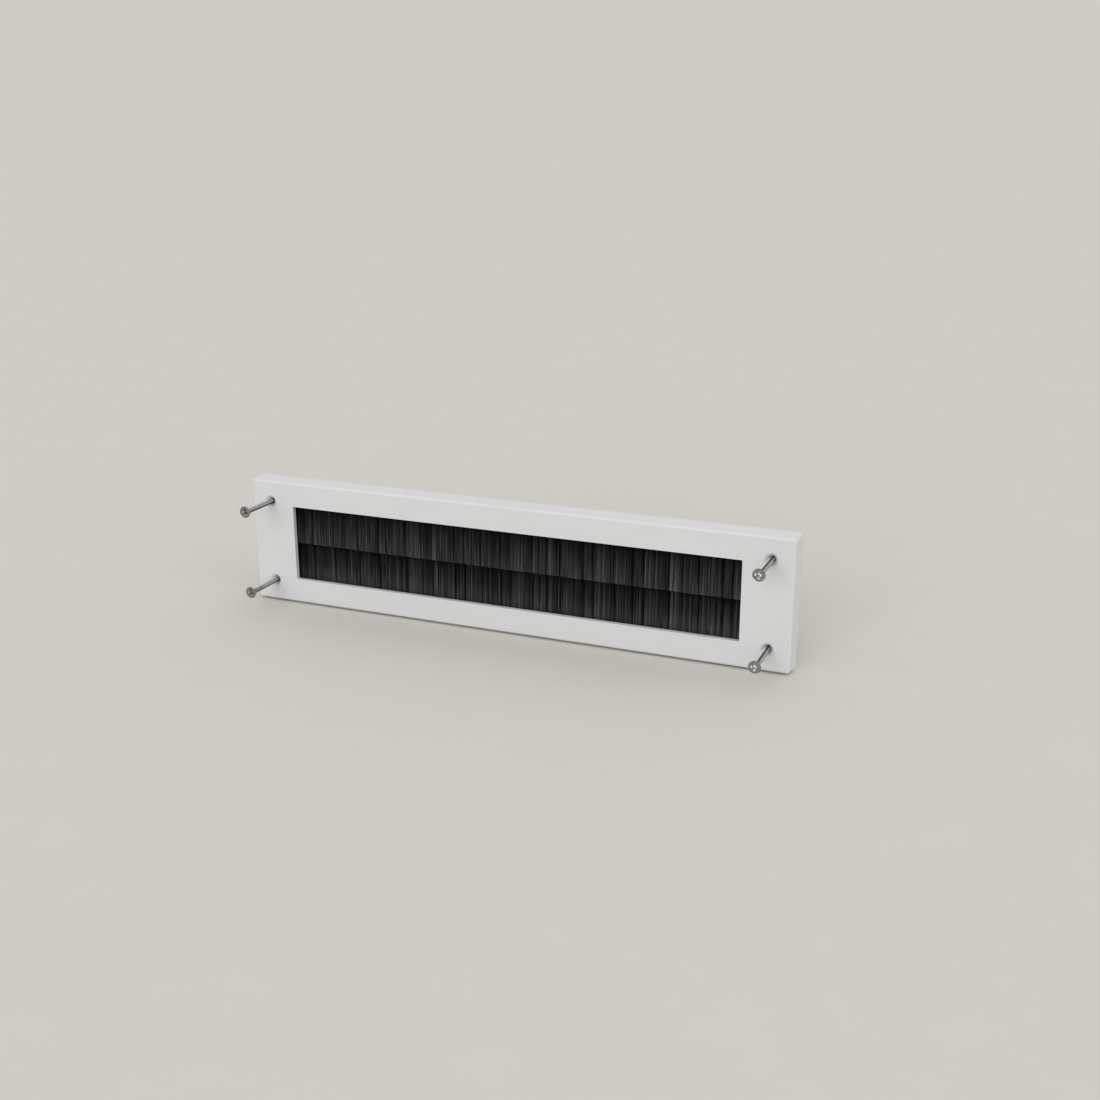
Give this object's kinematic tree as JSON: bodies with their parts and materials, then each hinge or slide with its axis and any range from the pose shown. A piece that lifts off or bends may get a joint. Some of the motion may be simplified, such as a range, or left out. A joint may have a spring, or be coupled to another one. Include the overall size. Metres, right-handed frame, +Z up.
{
  "type": "letterbox draught excluder",
  "caption": "Long rectangular moulded frame whose letter slot is closed by facing rows of bristles, with countersunk screws started in its corner holes.",
  "frame": {"origin": "centre of the back rim, in the plane that lies against the mounting surface", "axes": "+X along the length, +Z up, +Y out of the back into the mounting surface, so the front faces -Y"},
  "size_m": [0.338, 0.04, 0.078],
  "materials": {
    "white_moulding": "satin injection moulded white",
    "galvanised_sheet": "galvanised, rolled",
    "steel_wire": "drawn, bare",
    "black_filament": "fine nylon filaments, dull sheen",
    "bright_zinc": "bright zinc plate"
  },
  "bodies": {
    "root": {"frame": "white_moulding", "upper_brush_channel": "galvanised_sheet", "lower_brush_channel": "galvanised_sheet", "upper_core_wire": "steel_wire", "lower_core_wire": "steel_wire", "upper_bristles": "black_filament", "lower_bristles": "black_filament", "fixing_screws": "bright_zinc"}
  },
  "joints": []
}
